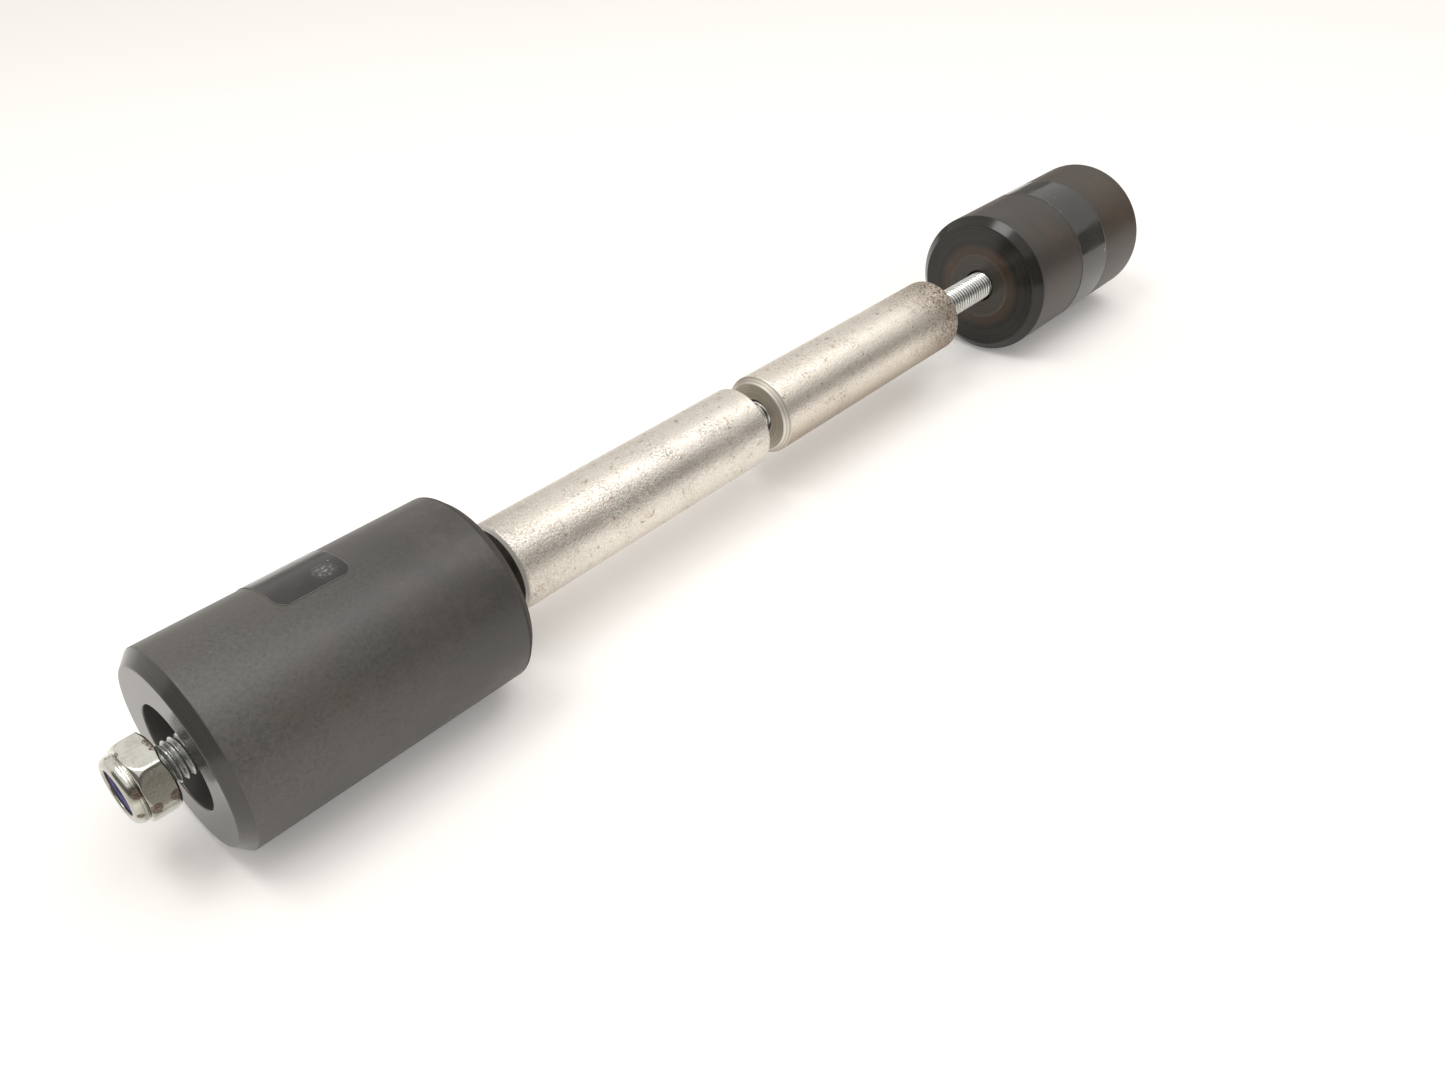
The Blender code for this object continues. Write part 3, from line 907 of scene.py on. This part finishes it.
# %% Zinc finishes
RUST_SPOTS = np.array([
    (0.3, -36.0, 8.5, 2.0, 0.1),
    (0.5, -22.0, 8.5, 1.4, 0.1),
    (7.5, 25.0, 7.6, 1.9, 2.6),
    (5.5, 56.0, 8.6, 2.4, 5.0),
    (1.0, 54.0, 8.8, 2.4, 5.0),
    (3.2, 32.0, 8.4, 0.1, 6.5),
    (6.5, -44.0, 8.4, 1.2, 0.1),
    (8.4, 63.0, 7.5, 1.4, 0.1),
])
CLOUD_GREY = (0.36, 0.355, 0.295, 1)
DARK_PATCH_GREY = (0.27, 0.265, 0.215, 1)
RUST_BROWN = (0.095, 0.048, 0.024, 1)


def rust_centres(bearing_x, outward, corner_degrees):
    """Centres of the spots with the reach of their rust and of the darker patch round it, in metres.

    A spot lists its height, its angle past a corner, its radius and the two reaches.
    """
    height, angle, radius, rust, dark_patch = RUST_SPOTS.T
    centres = round_axis(bearing_x + outward * height * MM, radius * MM, np.radians(angle + corner_degrees))
    return list(zip(centres.tolist(), (rust * MM).tolist(), (dark_patch * MM).tolist()))


def zinc(name, clean, dirt_and_shade, roughness, crest_mm, root_mm, rust_above, rust_strength, metallic=1.0, spots=(),
         far_root_shade=None):
    """Plated metal: dirt below root_mm from the axis, clean above crest_mm, grain in the gloss, rust clouds.

    With far_root_shade given, the roots darken to it from the near end to the rod's middle: painted shade.
    """
    material, shader, place = start_finish(name)
    axis = use(axis_group, {"Place": place})
    grain = speckle(place, 1900.0, 0.54)
    cloud = stains(place, 260.0, 0.42)
    near_spot, dark_patch = 0.0, 0.0
    for centre, rust_reach, patch_reach in spots:
        away = away_from(place, centre)
        spot_rust = ramp(away, 0.2 * rust_reach, rust_reach, 1.0, 0.0)
        spot_patch = ramp(away, 0.4 * patch_reach, patch_reach, 0.8, 0.0)
        near_spot = calc("MAXIMUM", near_spot, spot_rust)
        dark_patch = calc("MAXIMUM", dark_patch, spot_patch)
    rust_line = ramp(near_spot, 0.0, 1.0, rust_above, rust_above - 0.42) if spots else rust_above
    rust = ramp(stains(place, 400.0, rust_line), 0.05, 0.85)
    # Painted shade: past the near end the thread's roots go near black.
    if far_root_shade:
        dirt_and_shade = blended(ramp(axis["Along"], -170.0, 0.0), dirt_and_shade, far_root_shade)
    colour = blended(ramp(axis["Radius"], root_mm, crest_mm), dirt_and_shade, clean)
    colour = overlaid(colour, cloud, 0.6, CLOUD_GREY)
    # A wider, darker grey patch lies round some of the spots.
    colour = blended(dark_patch, colour, DARK_PATCH_GREY)
    dull = times(grain, 0.05, roughness)
    dull = times(cloud, 0.06, dull)
    feed(shader, {
        "Base Color": overlaid(colour, rust, rust_strength, RUST_BROWN),
        "Metallic": times(rust, -0.9 * rust_strength, metallic),
        "Roughness": times(rust, 0.35 * rust_strength, dull),
        "Normal": bumped(times(cloud, 1.5, grain), 0.10, 0.03 * MM),
    })
    return material


ROD_CLEAN, ROD_DIRTY, ROD_FAR_ROOT_SHADE = (0.76, 0.77, 0.75, 1), (0.36, 0.36, 0.34, 1), (0.06, 0.06, 0.055, 1)
NUT_CLEAN, NUT_DIRTY = (0.72, 0.72, 0.66, 1), (0.44, 0.43, 0.37, 1)
WASHER_CLEAN, WASHER_DIRTY = (0.76, 0.76, 0.73, 1), (0.55, 0.54, 0.50, 1)
NUT_WEAR = (0.17, 8.2, 6.2, 0.66, 0.95)
near_spots = rust_centres(near_bearing, -1, NEAR_CORNER)
far_spots = rust_centres(far_bearing, 1, FAR_CORNER)
rod_zinc = zinc("bright_zinc_thread", ROD_CLEAN, ROD_DIRTY, 0.24, 4.72, 4.25, 0.75, 0.5, 0.72,
                far_root_shade=ROD_FAR_ROOT_SHADE)
dress(rod_zinc, rod)
dress(zinc("near_nut_zinc", NUT_CLEAN, NUT_DIRTY, *NUT_WEAR, spots=near_spots), near_nut)
dress(zinc("far_nut_zinc", NUT_CLEAN, NUT_DIRTY, *NUT_WEAR, spots=far_spots), far_nut)
washer_zinc = zinc("plain_zinc_washer", WASHER_CLEAN, WASHER_DIRTY, 0.30, 8.0, 5.5, 0.62, 0.6)
dress(washer_zinc, near_washer, far_washer)

# %% [markdown]
# The nut's locking ring is nylon dyed violet blue. It is translucent in the hand, but so little of it shows
# that a soft gloss with a slightly paler rim is enough.

# %% Nylon ring
VIOLET, RUBBED_VIOLET, DARK_VIOLET = (0.075, 0.062, 0.20, 1), (0.20, 0.18, 0.38, 1), (0.04, 0.035, 0.10, 1)


def ring_nylon():
    """Violet blue plastic, paler where the rod has rubbed it near the bore."""
    material, shader, place = start_finish("violet_nylon")
    axis = use(axis_group, {"Place": place})
    grain = speckle(place, 1400.0, 0.5)
    colour = blended(ramp(axis["Radius"], 5.1, 5.9, 0.6, 0.0), VIOLET, RUBBED_VIOLET)
    feed(shader, {
        "Base Color": overlaid(colour, grain, 0.25, DARK_VIOLET),
        "Roughness": times(grain, 0.12, 0.36),
    })
    return material


dress(ring_nylon(), near_ring, far_ring)

# %% [markdown]
# The film is bare, dark and much glossier than the drum under it. Its cut edge is a thin pale line, a
# painted edge highlight: the mesh carries an attribute that is one on the edge and falls to nothing a little
# way in. A few pale specks and rubbed places break up the gloss. The near film has more dust on it than the
# far one, so it is duller and a little paler, and it is scuffed in one place.

# %% Label film
SPECK = (0.45, 0.44, 0.42, 1)
SCUFF = (0.40, 0.39, 0.37, 1)
EDGE_PAINTED_HIGHLIGHT = (0.33, 0.31, 0.28, 1)
SCUFF_ALONG, SCUFF_DEGREES = 41.4 * MM, 88


def label_film(name, clean, smeared, index, roughness, scuff_place=None):
    """Glossy dark film: a pale painted highlight at the film_edge rim, specks, smears and perhaps a scuff."""
    material, shader, place = start_finish(name)
    rim = add(material.node_tree, "ShaderNodeAttribute", attribute_name="film_edge").outputs["Fac"]
    smear = stains(place, 110.0, 0.45)
    colour = overlaid(clean, smear, 0.5, smeared)
    colour = overlaid(colour, speckle(place, 480.0, 0.675), 0.7, SPECK)
    if scuff_place is not None:
        scuff = ramp(away_from(place, scuff_place), 0.8 * MM, 3.6 * MM, 0.60, 0.0)
        flecks = times(speckle(place, 1300.0, 0.52), 0.7, 0.15)
        colour = overlaid(colour, scuff, flecks, SCUFF)
    dull = times(smear, 0.12, roughness)
    feed(shader, {
        # Painted highlight: a pale line along the film's cut edge.
        "Base Color": blended(ramp(rim, 0.35, 0.95, 0.0, 0.55), colour, EDGE_PAINTED_HIGHLIGHT),
        "Roughness": times(rim, 0.2, dull),
        "IOR": index,
    })
    return material


DUSTY_FILM, DUSTY_SMEAR = (0.020, 0.0195, 0.019, 1), (0.045, 0.043, 0.040, 1)
BLACK_FILM, BLACK_SMEAR = (0.013, 0.013, 0.011, 1), (0.028, 0.027, 0.024, 1)
near_scuff = round_axis(near_outer + SCUFF_ALONG, FILM_TOP, np.radians(SCUFF_DEGREES))[0]
dress(label_film("dusty_dark_film", DUSTY_FILM, DUSTY_SMEAR, 1.52, 0.17, near_scuff), near_film)
dress(label_film("glossy_black_film", BLACK_FILM, BLACK_SMEAR, 1.58, 0.10), far_film)

# %% [markdown]
# The set lies on a white sheet. The floor is one large pale square with a faint unevenness, so shadows have
# something to fall on. The camera adds a little plain white to it, which makes it read as paper white without
# putting more light on the object.

# %% Floor
FLOOR_HALF = 4.0
FLOOR_GAP = 0.05 * MM
PAPER_TONES = ((0.92, 0.890, 0.855, 1), (0.95, 0.925, 0.895, 1))
PAPER_GLOW = 0.15


def white_floor(z):
    """A square of four by four faces at one height, facing up."""
    step = np.linspace(-FLOOR_HALF, FLOOR_HALF, 5)
    x, y = np.meshgrid(step, step, indexing="xy")
    points = np.stack([x, y, np.full_like(x, z)], axis=-1).reshape(-1, 3)
    corner = np.add.outer(np.arange(4) * 5, np.arange(4)).ravel()
    faces = np.stack([corner, corner + 1, corner + 6, corner + 5], axis=-1)
    return mesh_object("white_sheet", points, faces)


def directly_seen(tree):
    """One for camera, glossy and transmission rays, and nought for the light that bounces on."""
    path = add(tree, "ShaderNodeLightPath").outputs
    seen = calc("MAXIMUM", path["Is Camera Ray"], path["Is Glossy Ray"])
    return calc("MAXIMUM", seen, path["Is Transmission Ray"])


def sheet_finish():
    """Pale paper; where it is directly seen, some plain white is added."""
    material, shader, place = start_finish("white_paper")
    feed(shader, {
        "Base Color": blended(noise(place, 3.0), *PAPER_TONES),
        "Roughness": 0.9,
        "Specular IOR Level": 0.1,
        "Emission Strength": times(directly_seen(material.node_tree), PAPER_GLOW),
        "Emission Color": (1, 1, 1, 1),
    })
    return material


floor = white_floor(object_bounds()[0].z - FLOOR_GAP)
dress(sheet_finish(), floor)
print("floor at", floor.data.vertices[0].co.z)

# %% [markdown]
# The light is a long soft box overhead, leaning a little to the camera's side, as the highlight on the
# spacers shows, and a small one behind that draws the bright line on the far bobbin's chamfer. The room is
# pale behind the object and dark towards the camera and the left. Two dark cards stand for that dark side:
# they give the metal its grey band and the chamfers depth. Two low grey cards stand for the shaded foot of a
# wall behind; their grey is painted shade. Only reflections see the cards, so they throw no shadow and leave
# no line on the floor.

# %% Light
ROOM_COLOUR = (1.0, 0.975, 0.94, 1)
ROOM_LIGHT, ROOM_SEEN = 0.68, 0.19


def soft_box(name, place, aim, size, watts):
    """An area light at a place, turned to face a point."""
    lamp = bpy.data.lights.new(name, "AREA")
    lamp.shape = "RECTANGLE"
    lamp.size, lamp.size_y = size
    lamp.energy = watts
    holder = bpy.data.objects.new(name, lamp)
    bpy.context.scene.collection.objects.link(holder)
    holder.location = place
    holder.rotation_euler = (Vector(aim) - Vector(place)).to_track_quat("-Z", "Y").to_euler()


def card(name, tone, corner, along, up):
    """A flat grey card from a corner and two edges, which only reflections see."""
    corner, along, up = (np.array(v, float) for v in (corner, along, up))
    points = np.stack([corner, corner + along, corner + along + up, corner + up])
    piece = mesh_object(name, points, np.array([[0, 1, 2, 3]]))
    material, shader, _ = start_finish(name + "_cloth")
    feed(shader, {"Base Color": (tone, 0.97 * tone, 0.94 * tone, 1), "Roughness": 1.0})
    piece.data.materials.append(material)
    piece.visible_camera = False
    piece.visible_diffuse = False
    piece.visible_shadow = False


soft_box("long_overhead_box", (0.30, -0.20, 1.0), (0.25, 0.0, 0.0), (1.4, 0.46), 3.4)
soft_box("back_soft_box", (-0.28, 0.12, 0.80), (-0.10, 0.0, 0.0), (0.35, 0.25), 1.7)
card("dark_card_front", 0.19, (-1.2, -0.8, 0.0), (2.6, 0, 0), (0, 0, 0.75))
card("dark_card_left", 0.19, (-1.1, -0.8, 0.0), (0, 1.4, 0), (0, 0, 0.8))
# The two grey cards' tone is painted shade on the foot of a wall.
card("wall_shade_card_far", 0.32, (0.75, -0.5, 0.0), (0, 1.05, 0), (0, 0, 0.24))
card("wall_shade_card_back", 0.45, (-0.3, 0.55, 0.0), (1.05, 0, 0), (0, 0, 0.12))

world = bpy.data.worlds.new("pale_room")
bpy.context.scene.world = world
world.use_nodes = True
web = world.node_tree
web.nodes.clear()
strength = times(directly_seen(web), ROOM_SEEN, ROOM_LIGHT)
air = grow("ShaderNodeBackground", {"Color": ROOM_COLOUR, "Strength": strength})
grow("ShaderNodeOutputWorld", {"Surface": air.outputs[0]})
print("light: two soft boxes, four cards and a pale room")

# %% [markdown]
# The camera stands low at the near nut and looks down the rod. Its place, turn and lens were worked out from
# the outlines of the drums and spacers, so the picture has the photograph's perspective.

# %% Camera
CAMERA_PLACE = (-0.23475, -0.19598, 0.20741)
CAMERA_YAW = np.radians(41.980)
CAMERA_PITCH = np.radians(37.067)
LENS_MM, SENSOR_MM = 29.13, 36.0


def photo_camera():
    """Yaw turns from +X towards +Y, and pitch is how far the camera looks down; at rest it looks along -Z."""
    lens = bpy.data.cameras.new("photo_camera")
    lens.lens = LENS_MM
    lens.sensor_width = SENSOR_MM
    lens.clip_start = 5 * MM
    holder = bpy.data.objects.new("photo_camera", lens)
    bpy.context.scene.collection.objects.link(holder)
    holder.location = CAMERA_PLACE
    holder.rotation_euler = (np.pi / 2 - CAMERA_PITCH, 0, CAMERA_YAW - np.pi / 2)
    return holder


bpy.context.scene.camera = photo_camera()
bpy.context.scene.view_settings.view_transform = "Standard"
print("camera at", CAMERA_PLACE)
